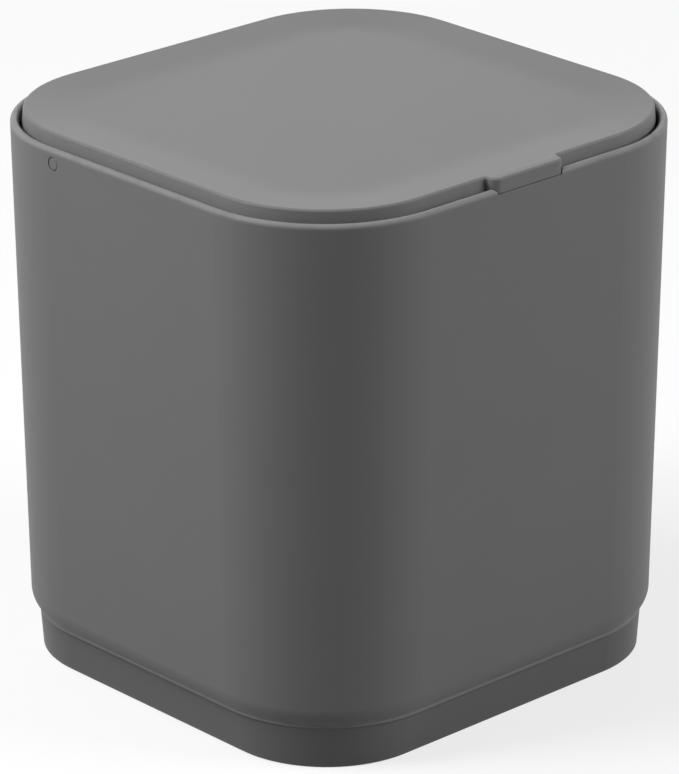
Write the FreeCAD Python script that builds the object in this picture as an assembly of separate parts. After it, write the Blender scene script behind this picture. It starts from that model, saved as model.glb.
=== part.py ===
import FreeCAD, Part
import math
import os

# Tabletop waste bin: a tapered tub on a stepped foot, with a tilting lid on two side pins.
# Millimetres. +Z is up, the front with the thumb tab faces -Y, the origin is the middle of the
# footprint on the table.

# Tub
rim_width = 130.0            # outside, left to right
rim_depth = 126.4            # outside, front to rear
rim_height = 134.0           # table to the top of the rim
rim_corner_radius = 34.1     # outside corner in plan
wall = 2.0                   # side walls, closed by a full round at the rim
wall_draft = 0.99            # lean of the walls, degrees
floor_thickness = 2.2
floor_fillet = 5.0           # inside, between floor and wall
shoulder_radius = 6.0        # round under the wall, above the foot
shoulder_sweep = 45.0        # part of that round which is there, degrees
shoulder_land = 0.8          # short upright band below that round

# Foot
foot_height = 10.4
foot_corner_radius = 27.4    # tighter than the tub's, so that the corners come flush with the shoulder
foot_wall = 2.4              # at the top
foot_draft = 4.0             # degrees, outside only
foot_setback = 0.9           # foot behind the end of the shoulder, on the straights
foot_edge_chamfer = 0.4
foot_tread_width = 7.0       # flat ring that stands on the table
foot_tread_thickness = 2.2
foot_fit = 0.05              # foot wall to the locating rib under the tub
rib_thickness = 1.8
rib_end_gap = 0.8            # locating rib to the tread
bead_radius = 0.5            # snap beads on the straights of the locating rib
bead_length = 30.0
bead_clearance = 0.1

# Lid
lid_side_gap = 0.8           # lid to the tub wall, left and right
lid_end_gap = 0.9            # lid to the tub wall, front and rear
lid_corner_radius = 31.2
lid_rise = 2.55              # crest of the lid above the rim
lid_plate = 2.0
lid_edge_radius = 0.6        # also round the thumb tab
dish_border = 15.0           # sloping band round the level middle of the lid
dish_slope = 5.5             # degrees, on that band
dish_blend_radius = 60.0     # between the level middle and the band
skirt_thickness = 1.8
skirt_lean = 5.0             # degrees, on the band of the skirt that shows above the rim
skirt_lean_below_rim = 0.6   # where that band starts
tab_width = 22.0
tab_corner_radius = 2.0
tab_root_radius = 0.8        # hollow round where the tab leaves the lid
tab_rest_gap = 0.2           # thumb tab above the floor of its notch
notch_depth = 1.2            # dip in the front rim that the tab rests in
notch_side_gap = 0.3

# Hinge
hinge_below_rim = 3.5
hinge_ahead_of_corner = 3.0  # pin ahead of the start of the rear corner
pin_diameter = 3.2
pin_length = 12.0
pin_end_chamfer = 0.25
pin_setback = 0.05           # pin end behind the outside of the wall
pin_running_clearance = 0.06  # radial, in the tub wall
pin_press_clearance = 0.01   # radial, in the lid boss
pin_bore_end_gap = 0.4
boss_diameter = 7.0
boss_end_wall = 1.6
hinge_rib_thickness = 1.6
hinge_rib_drop = 2.4         # hinge rib below the middle of the lid

# Places worked out from the sizes
UP = FreeCAD.Vector(0, 0, 1)
QUARTER_TURN = 90.0
lean = math.radians(wall_draft)
tub_centre_x = rim_width / 2 - rim_corner_radius
tub_centre_y = rim_depth / 2 - rim_corner_radius
lid_centre_x = rim_width / 2 - wall - lid_side_gap - lid_corner_radius
lid_centre_y = rim_depth / 2 - wall - lid_end_gap - lid_corner_radius
lid_top = rim_height + lid_rise
hinge_y = tub_centre_y - hinge_ahead_of_corner
hinge_z = rim_height - hinge_below_rim
skirt_bottom = hinge_z - boss_diameter / 2
rim_round = wall / 2
rim_round_u = rim_corner_radius - rim_round
rim_round_z = rim_height - rim_round
notch_floor = rim_height - notch_depth
lid_tilt = math.radians(skirt_lean)
band_low = rim_height - skirt_lean_below_rim
band_high = lid_top - lid_edge_radius * (1 - math.sin(lid_tilt))
band_inset = (band_high - band_low) * math.tan(lid_tilt)
dish_reach = lid_corner_radius - band_inset - lid_edge_radius * math.cos(lid_tilt)
lid_front = -(lid_centre_y + dish_reach + lid_edge_radius)
dish_tilt = math.radians(dish_slope)
dish_level_u = dish_reach - dish_border
slope_low_u = dish_level_u + dish_blend_radius * math.sin(dish_tilt)
slope_high_u = dish_reach - lid_edge_radius * math.sin(dish_tilt)
slope_high = lid_top - lid_edge_radius * (1 - math.cos(dish_tilt))
slope_low = slope_high - (slope_high_u - slope_low_u) * math.tan(dish_tilt)
dish_floor = slope_low - dish_blend_radius * (1 - math.cos(dish_tilt))


def at(u, z):
    """Point of a wall section: u outwards from the corner centre, z up."""
    return FreeCAD.Vector(u, 0, z)


def on_circle(centre, radius, degrees):
    """Point of a section on a circle, at an angle above the outward direction."""
    turn = math.radians(degrees)
    return centre + at(radius * math.cos(turn), radius * math.sin(turn))


def line(start, end):
    """Straight edge of a section."""
    return Part.LineSegment(start, end).toShape()


def arc(centre, radius, first, last):
    """Round edge of a section, between two angles in degrees."""
    middle = (first + last) / 2
    points = [on_circle(centre, radius, angle) for angle in (first, middle, last)]
    return Part.Arc(*points).toShape()


def section(edges):
    """Face closed by edges that follow each other."""
    return Part.Face(Part.Wire(edges))


def polygon(corners):
    """Face with straight edges through corners that follow each other."""
    return section([line(start, end) for start, end in zip(corners, corners[1:] + corners[:1])])


def rounded_sweep(face, centre_x, centre_y):
    """Carry a wall section round a rectangle with round corners: four runs and four quarter turns."""
    corners = [
        FreeCAD.Vector(centre_x, -centre_y, 0),
        FreeCAD.Vector(centre_x, centre_y, 0),
        FreeCAD.Vector(-centre_x, centre_y, 0),
        FreeCAD.Vector(-centre_x, -centre_y, 0),
    ]
    pieces = []
    for turn, start in enumerate(corners):
        run = corners[(turn + 1) % len(corners)] - start
        profile = face.copy()
        profile.rotate(FreeCAD.Vector(), UP, turn * QUARTER_TURN)
        profile.translate(start)
        pieces.append(profile.extrude(run))
        profile.translate(run)
        pieces.append(profile.revolve(start + run, UP, QUARTER_TURN))
    return pieces


def middle_block(centre_x, centre_y, low, high):
    """Rectangle between the four corner centres, from one height to another."""
    corner = FreeCAD.Vector(-centre_x, -centre_y, low)
    return Part.makeBox(2 * centre_x, 2 * centre_y, high - low, corner)


def joined(pieces):
    """One clean solid from pieces that meet or overlap."""
    whole = pieces[0].multiFuse(pieces[1:]).removeSplitter()
    return whole.Solids[0] if len(whole.Solids) == 1 else whole


def outer_wall_u(z):
    """Outside of the drafted tub wall at a height."""
    tangent = on_circle(at(rim_round_u, rim_round_z), rim_round, -wall_draft)
    return tangent.x - (tangent.z - z) * math.tan(lean)


def shoulder_end_u():
    """Where the round under the tub wall stops, on top of the foot."""
    end_angle = lean + math.radians(shoulder_sweep)
    start_z = foot_height + shoulder_land + shoulder_radius * (math.sin(end_angle) - math.sin(lean))
    return outer_wall_u(start_z) - shoulder_radius * (math.cos(lean) - math.cos(end_angle))


foot_centre_x = tub_centre_x + shoulder_end_u() - foot_setback - foot_corner_radius
foot_centre_y = tub_centre_y + shoulder_end_u() - foot_setback - foot_corner_radius
foot_inner_u = foot_corner_radius - foot_wall
rib_outer_u = foot_inner_u - foot_fit
rib_low = foot_tread_thickness + rib_end_gap
bead_z = (rib_low + foot_height) / 2


def tub_section():
    """Floor, floor fillet, drafted wall, full round rim, part round at the shoulder and its land."""
    rim_centre = at(rim_round_u, rim_round_z)
    rim_outside = on_circle(rim_centre, rim_round, -wall_draft)
    rim_inside = on_circle(rim_centre, rim_round, 180 - wall_draft)
    shoulder_last = -wall_draft - shoulder_sweep
    shoulder_end = at(shoulder_end_u(), foot_height + shoulder_land)
    shoulder_centre = shoulder_end - on_circle(at(0, 0), shoulder_radius, shoulder_last)
    shoulder_start = on_circle(shoulder_centre, shoulder_radius, -wall_draft)
    floor_top = foot_height + floor_thickness
    fillet_start_z = floor_top + floor_fillet * (1 - math.sin(lean))
    fillet_start_u = rim_inside.x - (rim_inside.z - fillet_start_z) * math.tan(lean)
    fillet_start = at(fillet_start_u, fillet_start_z)
    fillet_centre = fillet_start - on_circle(at(0, 0), floor_fillet, -wall_draft)
    fillet_end = at(fillet_centre.x, floor_top)
    return section([
        line(at(0, foot_height), at(shoulder_end.x, foot_height)),
        line(at(shoulder_end.x, foot_height), shoulder_end),
        arc(shoulder_centre, shoulder_radius, shoulder_last, -wall_draft),
        line(shoulder_start, rim_outside),
        arc(rim_centre, rim_round, -wall_draft, 180 - wall_draft),
        line(rim_inside, fillet_start),
        arc(fillet_centre, floor_fillet, -wall_draft, -QUARTER_TURN),
        line(fillet_end, at(0, floor_top)),
        line(at(0, floor_top), at(0, foot_height)),
    ])


def rib_section():
    """Locating rib under the floor, which the foot is pressed over."""
    inner_u = rib_outer_u - rib_thickness
    high = foot_height + floor_thickness / 2
    return polygon([
        at(inner_u, rib_low),
        at(rib_outer_u, rib_low),
        at(rib_outer_u, high),
        at(inner_u, high),
    ])


def beads(radius, length):
    """Round bars along the middle of the four straights of the locating rib."""
    reach_x = foot_centre_x + rib_outer_u
    reach_y = foot_centre_y + rib_outer_u
    along_x = FreeCAD.Vector(1, 0, 0)
    along_y = FreeCAD.Vector(0, 1, 0)
    bars = []
    for side in (-1, 1):
        side_start = FreeCAD.Vector(side * reach_x, -length / 2, bead_z)
        end_start = FreeCAD.Vector(-length / 2, side * reach_y, bead_z)
        bars.append(Part.makeCylinder(radius, length, side_start, along_y))
        bars.append(Part.makeCylinder(radius, length, end_start, along_x))
    return bars


def hinge_bar(diameter):
    """Bar on the hinge axis, through the whole bin."""
    start = FreeCAD.Vector(-rim_width, hinge_y, hinge_z)
    return Part.makeCylinder(diameter / 2, 2 * rim_width, start, FreeCAD.Vector(1, 0, 0))


def tab_notch():
    """Cutter for the pocket in the front rim that the tab rests in, with the outline of the tab."""
    face = tab_outline().makeOffset2D(notch_side_gap)
    face.rotate(FreeCAD.Vector(), FreeCAD.Vector(1, 0, 0), -QUARTER_TURN)
    face.translate(UP * notch_floor)
    return face.extrude(UP * 2 * notch_depth)


def make_tub():
    """Tub with its floor, locating rib, snap beads, tab notch and the two pin holes."""
    pieces = rounded_sweep(tub_section(), tub_centre_x, tub_centre_y)
    floor_top = foot_height + floor_thickness
    pieces.append(middle_block(tub_centre_x, tub_centre_y, foot_height, floor_top))
    pieces += rounded_sweep(rib_section(), foot_centre_x, foot_centre_y)
    pieces += beads(bead_radius, bead_length)
    holes = hinge_bar(pin_diameter + 2 * pin_running_clearance)
    return joined(pieces).cut([holes, tab_notch()]).removeSplitter()


def make_foot():
    """Foot ring: a drafted wall on a flat tread, with grooves for the snap beads."""
    low_u = foot_corner_radius - (foot_height - foot_edge_chamfer) * math.tan(math.radians(foot_draft))
    tread_u = foot_corner_radius - foot_tread_width
    face = polygon([
        at(tread_u, 0),
        at(low_u - foot_edge_chamfer, 0),
        at(low_u, foot_edge_chamfer),
        at(foot_corner_radius, foot_height),
        at(foot_inner_u, foot_height),
        at(foot_inner_u, foot_tread_thickness),
        at(tread_u, foot_tread_thickness),
    ])
    ring = joined(rounded_sweep(face, foot_centre_x, foot_centre_y))
    grooves = beads(bead_radius + bead_clearance, bead_length + 2 * bead_clearance)
    return ring.cut(Part.makeCompound(grooves)).removeSplitter()


def lid_form(face, middle_top):
    """Solid with the outline of the lid: a section carried round it, and the middle filled."""
    pieces = rounded_sweep(face, lid_centre_x, lid_centre_y)
    pieces.append(middle_block(lid_centre_x, lid_centre_y, skirt_bottom, middle_top))
    return joined(pieces)


def lid_block():
    """Outside of the lid: a band slopes up from a level middle to the round edge of a leaning skirt."""
    edge_centre = at(dish_reach, lid_top - lid_edge_radius)
    blend_centre = at(dish_level_u, dish_floor + dish_blend_radius)
    face = section([
        line(at(0, skirt_bottom), at(lid_corner_radius, skirt_bottom)),
        line(at(lid_corner_radius, skirt_bottom), at(lid_corner_radius, band_low)),
        line(at(lid_corner_radius, band_low), on_circle(edge_centre, lid_edge_radius, skirt_lean)),
        arc(edge_centre, lid_edge_radius, skirt_lean, QUARTER_TURN + dish_slope),
        line(at(slope_high_u, slope_high), at(slope_low_u, slope_low)),
        arc(blend_centre, dish_blend_radius, dish_slope - QUARTER_TURN, -QUARTER_TURN),
        line(at(dish_level_u, dish_floor), at(0, dish_floor)),
        line(at(0, dish_floor), at(0, skirt_bottom)),
    ])
    return lid_form(face, dish_floor)


def lid_hollow():
    """Inside of the lid: level under the middle of the dish, then parallel to its outer slope."""
    inside_u = lid_corner_radius - skirt_thickness
    low = dish_floor - lid_plate
    high = low + (inside_u - dish_level_u) * math.tan(dish_tilt)
    face = polygon([
        at(0, skirt_bottom),
        at(inside_u, skirt_bottom),
        at(inside_u, high),
        at(dish_level_u, low),
        at(0, low),
    ])
    return lid_form(face, low)


def tab_outline():
    """Plan of the thumb tab: hollow rounds at its root, straight sides and round front corners."""
    half = tab_width / 2
    front = -rim_depth / 2
    root = lid_front + lid_edge_radius
    spread = half + tab_root_radius
    side_start = lid_front - tab_root_radius
    side_end = front + tab_corner_radius
    front_end = half - tab_corner_radius
    return section([
        line(at(-spread, root), at(-spread, lid_front)),
        arc(at(-spread, side_start), tab_root_radius, QUARTER_TURN, 0),
        line(at(-half, side_start), at(-half, side_end)),
        arc(at(-front_end, side_end), tab_corner_radius, 2 * QUARTER_TURN, 3 * QUARTER_TURN),
        line(at(-front_end, front), at(front_end, front)),
        arc(at(front_end, side_end), tab_corner_radius, -QUARTER_TURN, 0),
        line(at(half, side_end), at(half, side_start)),
        arc(at(spread, side_start), tab_root_radius, 2 * QUARTER_TURN, QUARTER_TURN),
        line(at(spread, lid_front), at(spread, root)),
        line(at(spread, root), at(-spread, root)),
    ])


def thumb_tab():
    """Tab over the front rim, level with the crest of the lid, whose round edge runs on round it."""
    low = notch_floor + tab_rest_gap
    face = tab_outline()
    face.rotate(FreeCAD.Vector(), FreeCAD.Vector(1, 0, 0), -QUARTER_TURN)
    face.translate(UP * low)
    block = face.extrude(UP * (lid_top - low))
    top_edges = [e for e in block.Edges if e.BoundBox.ZMin > lid_top - lid_edge_radius]
    outer_edges = [e for e in top_edges if e.CenterOfMass.y < lid_front]
    return block.makeFillet(lid_edge_radius, outer_edges)


def hinge_bosses():
    """Bosses for the pins inside the side skirts, with a rib from one to the other under the plate."""
    boss_radius = boss_diameter / 2
    skirt_inside = lid_centre_x + lid_corner_radius - skirt_thickness
    pin_inner_end = rim_width / 2 - pin_length
    boss_end = pin_inner_end - pin_bore_end_gap - boss_end_wall
    length = skirt_inside + skirt_thickness / 2 - boss_end
    pieces = []
    for start in (boss_end, -boss_end - length):
        place = FreeCAD.Vector(start, hinge_y, hinge_z)
        pieces.append(Part.makeCylinder(boss_radius, length, place, FreeCAD.Vector(1, 0, 0)))
        corner = FreeCAD.Vector(start, hinge_y - boss_radius, hinge_z)
        pieces.append(Part.makeBox(length, boss_diameter, dish_floor - hinge_z, corner))
    rib_bottom = dish_floor - lid_plate - hinge_rib_drop
    rib_height = hinge_rib_drop + lid_plate / 2
    rib_corner = FreeCAD.Vector(-boss_end, hinge_y - hinge_rib_thickness / 2, rib_bottom)
    pieces.append(Part.makeBox(2 * boss_end, hinge_rib_thickness, rib_height, rib_corner))
    return pieces


def pin_bores():
    """Blind holes for the pins, from outside the skirts into the bosses."""
    depth = pin_length + pin_bore_end_gap
    radius = pin_diameter / 2 + pin_press_clearance
    bores = []
    for side in (-1, 1):
        start = FreeCAD.Vector(side * rim_width / 2, hinge_y, hinge_z)
        bores.append(Part.makeCylinder(radius, depth, start, FreeCAD.Vector(-side, 0, 0)))
    return Part.makeCompound(bores)


def make_lid():
    """Dished plate with its skirt, thumb tab, pin bosses and hinge rib."""
    shell = lid_block().cut(lid_hollow())
    solid = joined([shell, thumb_tab()] + hinge_bosses())
    return solid.cut(pin_bores()).removeSplitter()


def make_pin(side):
    """Plain pin with chamfered ends, flush with the outside of the wall on one side of the tub."""
    outer_end = tub_centre_x + outer_wall_u(hinge_z) - pin_setback
    length = outer_end - (rim_width / 2 - pin_length)
    start = FreeCAD.Vector(side * outer_end, hinge_y, hinge_z)
    pin = Part.makeCylinder(pin_diameter / 2, length, start, FreeCAD.Vector(-side, 0, 0))
    rims = [e for e in pin.Edges if e.BoundBox.XLength < pin_end_chamfer]
    return pin.makeChamfer(pin_end_chamfer, rims)


def main():
    """Make every piece and write it out."""
    os.makedirs("parts", exist_ok=True)
    pieces = {
        "body_shell": make_tub(),
        "foot_ring": make_foot(),
        "lid": make_lid(),
        "hinge_pin_left": make_pin(-1),
        "hinge_pin_right": make_pin(1),
    }
    for name, shape in pieces.items():
        shape.exportStep(f"parts/{name}.step")
        print(name, len(shape.Solids), shape.isValid(), round(shape.Volume / 1000, 2), "cm3")


main()
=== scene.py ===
"""Looks of a tabletop waste bin: moulded grey finishes on the CAD frame, a plain studio and a camera."""

import logging
import math
from abc import ABC, abstractmethod
from dataclasses import dataclass
from enum import Enum
from typing import Mapping, Optional, Sequence, Union

import bpy
from mathutils import Matrix, Vector


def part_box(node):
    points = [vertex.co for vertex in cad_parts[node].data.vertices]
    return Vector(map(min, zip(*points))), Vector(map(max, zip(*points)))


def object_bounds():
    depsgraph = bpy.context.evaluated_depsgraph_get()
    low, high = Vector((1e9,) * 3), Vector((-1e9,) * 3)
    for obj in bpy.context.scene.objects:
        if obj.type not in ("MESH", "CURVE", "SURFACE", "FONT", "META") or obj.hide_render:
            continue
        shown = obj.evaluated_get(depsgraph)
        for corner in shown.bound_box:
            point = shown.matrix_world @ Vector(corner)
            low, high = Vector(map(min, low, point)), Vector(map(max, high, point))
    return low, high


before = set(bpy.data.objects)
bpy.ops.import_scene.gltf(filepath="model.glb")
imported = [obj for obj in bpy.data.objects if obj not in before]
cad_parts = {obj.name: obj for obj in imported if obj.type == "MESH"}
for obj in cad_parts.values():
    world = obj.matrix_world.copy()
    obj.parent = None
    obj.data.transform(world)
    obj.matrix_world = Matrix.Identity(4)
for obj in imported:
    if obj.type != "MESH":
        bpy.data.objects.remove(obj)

LOG = logging.getLogger("tabletop_bin")
CAD_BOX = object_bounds()
MILLIMETRE = 0.001
LOW, HIGH = 0, 1
X, Y, Z = 0, 1, 2
WHITE = (1.0, 1.0, 1.0, 1.0)


def bearing(azimuth: float, elevation: float) -> Vector:
    """Direction away from the bin.

    Args:
        azimuth: degrees round from the front, towards the right.
        elevation: degrees above the table.

    Returns:
        A vector of length 1.
    """
    turn = math.radians(azimuth)
    rise = math.radians(elevation)
    return Vector((math.sin(turn) * math.cos(rise), -math.cos(turn) * math.cos(rise), math.sin(rise)))


class MathStep(Enum):
    """Operations of the Math node that the finishes use."""

    ADD = "ADD"
    SUBTRACT = "SUBTRACT"
    MULTIPLY = "MULTIPLY"
    HIGHEST = "MAXIMUM"
    SIZE = "ABSOLUTE"
    ROOT = "SQRT"


class Signal:
    """A socket of a shader that takes part in Python arithmetic."""

    def __init__(self, sheet: "NodeSheet", socket: bpy.types.NodeSocket) -> None:
        """Keep the sheet that new nodes go on, and the socket."""
        self.sheet = sheet
        self.socket = socket

    def step(self, operation: MathStep, first: "Operand", second: "Operand" = 0.0) -> "Signal":
        """Add one Math node.

        Args:
            operation: what the node works out.
            first: upper value or link.
            second: lower value or link.

        Returns:
            The node's result.
        """
        inputs = {0: first, 1: second}
        return self.sheet.signal("ShaderNodeMath", "Value", {"operation": operation.value}, inputs)

    def __add__(self, other: "Operand") -> "Signal":
        """Sum with a number or a signal."""
        return self.step(MathStep.ADD, self, other)

    def __radd__(self, other: "Operand") -> "Signal":
        """Sum with a number on the left."""
        return self.step(MathStep.ADD, other, self)

    def __sub__(self, other: "Operand") -> "Signal":
        """Difference from a number or a signal."""
        return self.step(MathStep.SUBTRACT, self, other)

    def __rsub__(self, other: "Operand") -> "Signal":
        """Difference of a number on the left."""
        return self.step(MathStep.SUBTRACT, other, self)

    def __mul__(self, other: "Operand") -> "Signal":
        """Product with a number or a signal."""
        return self.step(MathStep.MULTIPLY, self, other)

    def __rmul__(self, other: "Operand") -> "Signal":
        """Product with a number on the left."""
        return self.step(MathStep.MULTIPLY, other, self)

    def __abs__(self) -> "Signal":
        """Size without its sign."""
        return self.step(MathStep.SIZE, self)

    def root(self) -> "Signal":
        """Square root."""
        return self.step(MathStep.ROOT, self)

    def at_least(self, other: "Operand") -> "Signal":
        """The larger of two values."""
        return self.step(MathStep.HIGHEST, self, other)


Operand = Union[Signal, float, Sequence[float]]


class NodeSheet:
    """Node tree of one material or world, with one way to add a node."""

    noise_middle = 0.5
    # Numbers of sockets whose names are used twice on the Mix and Mix Shader nodes.
    colour_sockets = (6, 7)
    colour_result = 2
    shader_sockets = (1, 2)

    def __init__(self, tree: bpy.types.NodeTree) -> None:
        """Start from an empty tree."""
        self.tree = tree
        tree.nodes.clear()

    def node(
        self,
        kind: str,
        settings: Optional[Mapping[str, object]] = None,
        inputs: Optional[Mapping[Union[str, int], Operand]] = None,
    ) -> bpy.types.Node:
        """Add a node, set it and fill its sockets.

        Args:
            kind: the node's type.
            settings: attributes of the node, which are set first.
            inputs: value or link for each named or numbered socket.

        Returns:
            The new node.
        """
        node = self.tree.nodes.new(kind)
        for name, value in (settings or {}).items():
            setattr(node, name, value)
        for key, value in (inputs or {}).items():
            if isinstance(value, Signal):
                self.tree.links.new(value.socket, node.inputs[key])
            else:
                node.inputs[key].default_value = value
        return node

    def signal(
        self,
        kind: str,
        output: Union[str, int],
        settings: Optional[Mapping[str, object]] = None,
        inputs: Optional[Mapping[Union[str, int], Operand]] = None,
    ) -> Signal:
        """Add a node and take one of its outputs.

        Args:
            kind: the node's type.
            output: name or number of the output.
            settings: attributes of the node.
            inputs: value or link for each socket.

        Returns:
            The output as a signal.
        """
        return Signal(self, self.node(kind, settings, inputs).outputs[output])

    def parts(self, place: Signal) -> tuple[Signal, Signal, Signal]:
        """Split coordinates into x, y and z."""
        node = self.node("ShaderNodeSeparateXYZ", None, {"Vector": place})
        return (Signal(self, node.outputs[X]), Signal(self, node.outputs[Y]), Signal(self, node.outputs[Z]))

    def bump(self, height: Signal, depth: float, under: Optional[Signal] = None) -> Signal:
        """Bend the normal by a relief.

        Args:
            height: relief between 0 and 1.
            depth: how deep the relief is, in metres.
            under: normal that it starts from, if not the surface's own.

        Returns:
            The bent normal.
        """
        inputs: dict[Union[str, int], Operand] = {"Strength": 1.0, "Distance": depth, "Height": height}
        if under is not None:
            inputs["Normal"] = under
        return self.signal("ShaderNodeBump", "Normal", None, inputs)

    def noise(self, place: Signal, grain: float, detail: float) -> Signal:
        """Smooth noise around its middle value.

        Args:
            place: coordinates in metres.
            grain: size of one blot, in metres.
            detail: octaves of finer noise.

        Returns:
            The noise value.
        """
        inputs = {"Vector": place, "Scale": 1.0 / grain, "Detail": detail}
        return self.signal("ShaderNodeTexNoise", "Fac", {"noise_dimensions": "3D"}, inputs)

    def fade(self, value: Signal, start: float, end: float) -> Signal:
        """Smooth step.

        Args:
            value: what is compared.
            start: where the step is 0.
            end: where the step is 1.

        Returns:
            The step, between 0 and 1.
        """
        settings = {"interpolation_type": "SMOOTHSTEP", "clamp": True}
        inputs = {"Value": value, "From Min": start, "From Max": end, "To Min": 0.0, "To Max": 1.0}
        if start > end:
            inputs.update({"From Min": end, "From Max": start, "To Min": 1.0, "To Max": 0.0})
        return self.signal("ShaderNodeMapRange", "Result", settings, inputs)

    def blend(self, share: Signal, first: Operand, second: Operand) -> Signal:
        """Mix of two colours.

        Args:
            share: part that the second colour has.
            first: colour at 0.
            second: colour at 1.

        Returns:
            The mixed colour.
        """
        settings = {"data_type": "RGBA", "clamp_factor": True}
        low, high = self.colour_sockets
        inputs = {0: share, low: first, high: second}
        return self.signal("ShaderNodeMix", self.colour_result, settings, inputs)

    def either(self, share: Operand, first: Signal, second: Signal) -> Signal:
        """Mix of two shaders.

        Args:
            share: part that the second shader has.
            first: shader at 0.
            second: shader at 1.

        Returns:
            The mixed shader.
        """
        low, high = self.shader_sockets
        return self.signal("ShaderNodeMixShader", "Shader", None, {"Fac": share, low: first, high: second})


class WearAndHighlightPlace(ABC):
    """Somewhere on a piece that is painted lighter: worn spots, and painted highlights where light catches
    an edge.
    """

    @abstractmethod
    def mask(self, sheet: NodeSheet, place: Signal) -> Signal:
        """How much lighter each point is painted.

        Args:
            sheet: nodes of the finish.
            place: Object coordinates.

        Returns:
            A share between 0 and 1.
        """


@dataclass(frozen=True)
class WearAndHighlightHeight(WearAndHighlightPlace):
    """Band painted lighter most at one height and not at all at another; it serves both for wear and for
    painted highlights.
    """

    least: float
    most: float
    strength: float = 1.0

    def mask(self, sheet: NodeSheet, place: Signal) -> Signal:
        """Share that follows the height."""
        height = sheet.parts(place)[Z]
        return sheet.fade(height, self.least, self.most) * self.strength


@dataclass(frozen=True)
class WearAndHighlightOutline(WearAndHighlightPlace):
    """Band along the edge of a plate with round corners, and in part what stands out of the plate."""

    half_width: float
    half_depth: float
    corner: float
    reach: float
    beyond: float

    def mask(self, sheet: NodeSheet, place: Signal) -> Signal:
        """Share that follows the distance from the outline.

        Args:
            sheet: nodes of the finish.
            place: Object coordinates.

        Returns:
            A share between 0 and 1.
        """
        across, along, _ = sheet.parts(place)
        beyond_x = (abs(across) - (self.half_width - self.corner)).at_least(0.0)
        beyond_y = (abs(along) - (self.half_depth - self.corner)).at_least(0.0)
        outside = (beyond_x * beyond_x + beyond_y * beyond_y).root() - self.corner
        left_out = sheet.fade(outside, 0.0, self.reach) * (1.0 - self.beyond)
        return sheet.fade(outside, -self.reach, 0.0) - left_out


@dataclass(frozen=True)
class MouldedPlastic:
    """Moulded grey plastic with a fine eroded grain, cloudy in tone, and lighter and smoother where it is
    worn and where a highlight is painted.
    """

    name: str
    tone: float
    roughness: float
    specular: float
    # Places painted lighter and smoother: real wear, and painted highlights along edges that catch the
    # light.
    highlight_and_wear_places: tuple[WearAndHighlightPlace, ...] = ()
    highlight_and_wear_tone: float = 0.06
    highlight_and_wear_roughness: float = 0.07
    highlight_and_wear_blot: float = 5.0 * MILLIMETRE
    highlight_and_wear_detail: float = 3.0
    highlight_and_wear_start: float = 0.1
    highlight_and_wear_full: float = 0.5
    grain: float = 0.35 * MILLIMETRE
    grain_depth: float = 0.010 * MILLIMETRE
    grain_detail: float = 2.0
    flow: float = 26.0 * MILLIMETRE
    flow_depth: float = 0.035 * MILLIMETRE
    flow_detail: float = 1.0
    cloud: float = 18.0 * MILLIMETRE
    cloud_detail: float = 3.0
    cloud_tone: float = 0.03
    cloud_roughness: float = 0.06

    def grey(self, share: float) -> tuple[float, float, float, float]:
        """Neutral colour at a share of the finish's own tone."""
        return (self.tone * share, self.tone * share, self.tone * share, 1.0)

    def highlight_and_wear_share(self, sheet: NodeSheet, place: Signal) -> Signal:
        """Join the places painted lighter, worn spots and painted highlights alike, and break them up into
        blots.

        Args:
            sheet: nodes of the finish.
            place: Object coordinates.

        Returns:
            How much lighter each point is painted, between 0 and 1.
        """
        share: Operand = 0.0
        for spot in self.highlight_and_wear_places:
            share = spot.mask(sheet, place).at_least(share)
        blots = sheet.noise(place, self.highlight_and_wear_blot, self.highlight_and_wear_detail)
        return sheet.fade(blots, self.highlight_and_wear_start, self.highlight_and_wear_full) * share

    def relief(self, sheet: NodeSheet, place: Signal) -> Signal:
        """Normal of the surface with the eroded grain and the slow waves of the moulded wall.

        Args:
            sheet: nodes of the finish.
            place: Object coordinates.

        Returns:
            The bent normal.
        """
        waves = sheet.bump(sheet.noise(place, self.flow, self.flow_detail), self.flow_depth)
        return sheet.bump(sheet.noise(place, self.grain, self.grain_detail), self.grain_depth, waves)

    def material(self) -> bpy.types.Material:
        """Build the finish as nodes on Object coordinates.

        Returns:
            The new material.
        """
        material = bpy.data.materials.new(self.name)
        material.use_nodes = True
        sheet = NodeSheet(material.node_tree)
        place = sheet.signal("ShaderNodeTexCoord", "Object")
        clouds = sheet.noise(place, self.cloud, self.cloud_detail)
        highlight_and_wear_share = self.highlight_and_wear_share(sheet, place)
        plain = sheet.blend(clouds, self.grey(1.0 - self.cloud_tone), self.grey(1.0 + self.cloud_tone))
        # Lighter grey where the piece is worn and where a highlight is painted.
        colour = sheet.blend(highlight_and_wear_share, plain, self.grey(1.0 + self.highlight_and_wear_tone))
        uneven = (clouds - sheet.noise_middle) * self.cloud_roughness
        roughness = self.roughness + uneven - highlight_and_wear_share * self.highlight_and_wear_roughness
        shader = sheet.signal(
            "ShaderNodeBsdfPrincipled",
            "BSDF",
            None,
            {
                "Base Color": colour,
                "Roughness": roughness,
                "Specular IOR Level": self.specular,
                "Normal": self.relief(sheet, place),
            },
        )
        sheet.node("ShaderNodeOutputMaterial", None, {"Surface": shader})
        return material


def dress(node: str, material: bpy.types.Material) -> None:
    """Put a material on a CAD node, which keeps its shape.

    Args:
        node: name of the node.
        material: its only material.
    """
    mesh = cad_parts[node].data
    mesh.materials.clear()
    mesh.materials.append(material)
    LOG.info("%s: %s", node, material.name)


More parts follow.
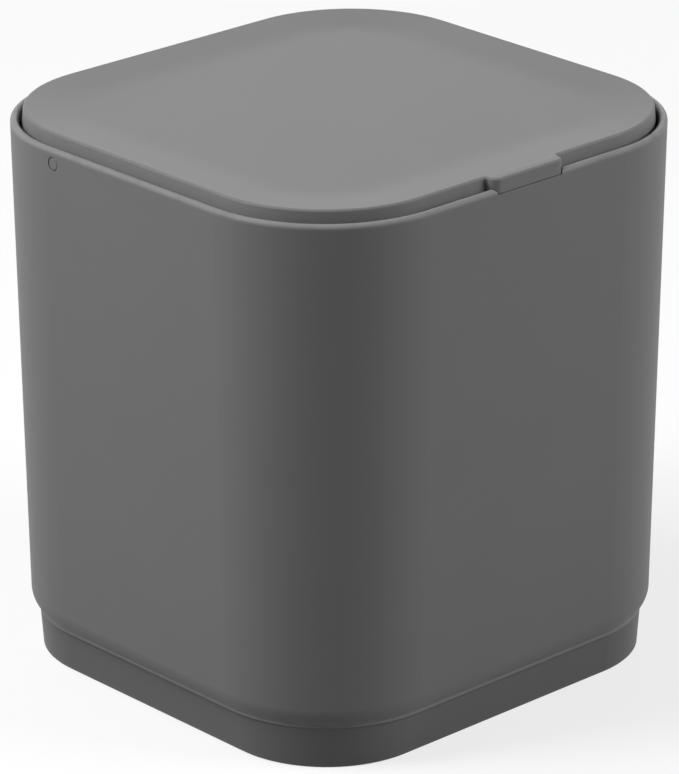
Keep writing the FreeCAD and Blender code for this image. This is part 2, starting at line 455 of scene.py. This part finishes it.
@dataclass
class Tub:
    """Body shell on its foot ring, with painted highlights along the rim and on the lip over the foot, a
    foot drawn darker as painted shade, and scuffs where it stands.
    """

    shell: str = "body_shell"
    foot: str = "foot_ring"
    shell_tone: float = 0.158
    # Painted shade: the foot is drawn darker than the shell for the shade under the shoulder.
    foot_shaded_tone: float = 0.126
    roughness: float = 0.50
    specular: float = 0.09
    # Painted highlight: the rim, and the lip over the foot at half strength, are drawn this much lighter
    # where light catches them.
    rim_and_lip_highlight_tone: float = 0.33
    rim_band: float = 1.6 * MILLIMETRE
    rim_crest: float = 0.5 * MILLIMETRE
    lip_band: float = 2.2 * MILLIMETRE
    lip_crest: float = 0.8 * MILLIMETRE
    lip_strength: float = 0.5
    standing_band: float = 1.6 * MILLIMETRE

    def shell_finish(self) -> MouldedPlastic:
        """Satin grey, with a painted highlight along the rim and a weaker one on the lip over the foot.

        Returns:
            The finish of the body shell.
        """
        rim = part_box(self.shell)[HIGH][Z]
        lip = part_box(self.foot)[HIGH][Z]
        # Painted highlight along the rim, and a weaker one on the lip over the foot.
        highlight_and_wear_places = (
            WearAndHighlightHeight(rim - self.rim_band, rim - self.rim_crest),
            WearAndHighlightHeight(lip + self.lip_band, lip + self.lip_crest, self.lip_strength),
        )
        return MouldedPlastic(
            "satin_body_grey", self.shell_tone, self.roughness, self.specular, highlight_and_wear_places, highlight_and_wear_tone=self.rim_and_lip_highlight_tone
        )

    def foot_finish(self) -> MouldedPlastic:
        """Darker grey than the shell, as painted shade for the shade under the shoulder, and scuffed near
        the table.

        Returns:
            The finish of the foot ring.
        """
        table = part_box(self.foot)[LOW][Z]
        # Lighter from real scuffs near the table.
        highlight_and_wear_places = (WearAndHighlightHeight(table + self.standing_band, table),)
        return MouldedPlastic("satin_foot_grey", self.foot_shaded_tone, self.roughness, self.specular, highlight_and_wear_places)

    def build(self) -> None:
        """Dress both pieces."""
        dress(self.shell, self.shell_finish().material())
        dress(self.foot, self.foot_finish().material())


@dataclass
class TiltingLid:
    """Dished lid with its tab and the two pins it turns on, with a painted highlight along the edge and
    skirt and a little wear on the tab.
    """

    plate: str = "lid"
    pins: tuple[str, ...] = ("hinge_pin_left", "hinge_pin_right")
    tone: float = 0.149
    roughness: float = 0.54
    pin_roughness: float = 0.46
    specular: float = 0.15
    corner: float = 31.2 * MILLIMETRE
    # Painted highlight: the edge and skirt of the lid are drawn lighter where light catches them; the tab
    # gets a share of it, as wear.
    edge_band: float = 1.0 * MILLIMETRE
    edge_highlight_and_tab_wear_tone: float = 0.14
    tab_share: float = 0.2

    def plate_finish(self) -> MouldedPlastic:
        """Grey that is more matt than the tub, with a painted highlight along the edge and skirt and a
        little wear on the tab.

        Returns:
            The finish of the lid.
        """
        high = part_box(self.plate)[HIGH]
        # Painted highlight along the edge and down the skirt; the tab beyond the outline gets a fifth of
        # it, as wear.
        highlight_and_wear_places = (WearAndHighlightOutline(high[X], high[Y], self.corner, self.edge_band, self.tab_share),)
        return MouldedPlastic(
            "matt_lid_grey", self.tone, self.roughness, self.specular, highlight_and_wear_places, highlight_and_wear_tone=self.edge_highlight_and_tab_wear_tone
        )

    def pin_finish(self) -> MouldedPlastic:
        """Plain moulded grey."""
        return MouldedPlastic("pin_grey", self.tone, self.pin_roughness, self.specular)

    def build(self) -> None:
        """Dress the lid and its pins."""
        dress(self.plate, self.plate_finish().material())
        pin_material = self.pin_finish().material()
        for pin in self.pins:
            dress(pin, pin_material)


@dataclass
class SoftBox:
    """A square lamp that faces the bin."""

    name: str
    azimuth: float
    elevation: float
    distance: float
    side: float
    power: float

    def build(self, aim: Vector) -> None:
        """Place the lamp on its bearing from a point and turn it to that point.

        Args:
            aim: what the lamp faces.
        """
        away = bearing(self.azimuth, self.elevation)
        lamp = bpy.data.lights.new(self.name, "AREA")
        lamp.shape = "SQUARE"
        lamp.size = self.side
        lamp.energy = self.power
        holder = bpy.data.objects.new(self.name, lamp)
        holder.location = aim + away * self.distance
        holder.rotation_euler = away.to_track_quat("Z", "Y").to_euler()
        holder.visible_camera = False
        bpy.context.scene.collection.objects.link(holder)
        LOG.info("%s: %.1f W", self.name, self.power)


LAMPS = (
    SoftBox("high_soft_box", azimuth=-130.0, elevation=60.0, distance=2.0, side=1.0, power=25.0),
    SoftBox("left_soft_box", azimuth=-113.0, elevation=33.0, distance=0.8, side=0.25, power=3.35),
    SoftBox("right_soft_box", azimuth=36.0, elevation=26.0, distance=1.2, side=0.6, power=9.4),
    SoftBox("rear_soft_box", azimuth=137.0, elevation=12.0, distance=1.2, side=0.6, power=2.0),
)


@dataclass
class Studio:
    """Pale floor, white surroundings and the soft boxes."""

    floor_side: float = 12.0
    floor_tone: float = 0.86
    floor_bounce: float = 0.28
    floor_glow: float = 0.72
    ambient: float = 0.11
    lamp_aim: float = 0.07

    def seen(self, sheet: NodeSheet) -> Signal:
        """Whether a ray comes from the camera, straight or through gloss or glass.

        Args:
            sheet: nodes of the floor or the world.

        Returns:
            1 for such a ray, or else 0.
        """
        node = sheet.node("ShaderNodeLightPath")
        names = ("Is Camera Ray", "Is Glossy Ray", "Is Transmission Ray")
        camera, gloss, glass = (Signal(sheet, node.outputs[name]) for name in names)
        return camera.at_least(gloss).at_least(glass)

    def floor_material(self) -> bpy.types.Material:
        """Pale floor that keeps a soft shadow and gives little light back.

        Returns:
            The new material.
        """
        material = bpy.data.materials.new("pale_floor")
        material.use_nodes = True
        sheet = NodeSheet(material.node_tree)
        tone = (self.floor_tone, self.floor_tone, self.floor_tone, 1.0)
        bounce = (self.floor_bounce, self.floor_bounce, self.floor_bounce, 1.0)
        pale = sheet.signal("ShaderNodeBsdfDiffuse", "BSDF", None, {"Color": tone})
        glow = sheet.signal("ShaderNodeEmission", "Emission", None, {"Color": WHITE})
        dim = sheet.signal("ShaderNodeBsdfDiffuse", "BSDF", None, {"Color": bounce})
        shown = sheet.either(self.floor_glow, pale, glow)
        both = sheet.either(self.seen(sheet), dim, shown)
        sheet.node("ShaderNodeOutputMaterial", None, {"Surface": both})
        return material

    def build_floor(self) -> None:
        """Lay the floor at the height that the bin stands on."""
        bpy.ops.object.select_all(action="DESELECT")
        bpy.ops.mesh.primitive_plane_add(size=self.floor_side, location=(0.0, 0.0, CAD_BOX[LOW][Z]))
        floor = bpy.context.object
        floor.name = "studio_floor"
        floor.data.materials.append(self.floor_material())

    def build_world(self) -> None:
        """White surroundings to the camera and in gloss, a dim even light otherwise."""
        world = bpy.data.worlds.new("studio_world")
        world.use_nodes = True
        bpy.context.scene.world = world
        sheet = NodeSheet(world.node_tree)
        strength = self.seen(sheet) * (1.0 - self.ambient) + self.ambient
        inputs = {"Color": WHITE, "Strength": strength}
        light = sheet.signal("ShaderNodeBackground", "Background", None, inputs)
        sheet.node("ShaderNodeOutputWorld", None, {"Surface": light})

    def build(self) -> None:
        """Make the floor, the surroundings and the lamps."""
        self.build_floor()
        self.build_world()
        aim = Vector((0.0, 0.0, self.lamp_aim))
        for lamp in LAMPS:
            lamp.build(aim)


@dataclass
class PhotoCamera:
    """Long lens at the viewing angle of the photograph."""

    azimuth: float = -42.79
    elevation: float = 21.82
    distance: float = 1.2
    aim_height: float = 0.06543
    roll: float = -0.16
    frame_height: float = 36.0
    focal_length: float = 234.64
    matrix_size: int = 4

    def build(self) -> None:
        """Make the camera and use it for the scene."""
        away = bearing(self.azimuth, self.elevation)
        lens = bpy.data.cameras.new("photo_camera")
        lens.sensor_fit = "VERTICAL"
        lens.sensor_height = self.frame_height
        lens.lens = self.focal_length
        camera = bpy.data.objects.new("photo_camera", lens)
        turn = away.to_track_quat("Z", "Y").to_matrix().to_4x4()
        place = Matrix.Translation(Vector((0.0, 0.0, self.aim_height)) + away * self.distance)
        roll = Matrix.Rotation(math.radians(self.roll), self.matrix_size, "Z")
        camera.matrix_world = place @ turn @ roll
        bpy.context.scene.collection.objects.link(camera)
        bpy.context.scene.camera = camera


def main() -> None:
    """Dress every piece of the bin, then build the studio and the camera."""
    logging.basicConfig(level=logging.INFO, format="%(name)s: %(message)s")
    bpy.context.scene.view_settings.view_transform = "Standard"
    for group in (Tub(), TiltingLid()):
        group.build()
    Studio().build()
    PhotoCamera().build()


if __name__ == "__main__":
    main()
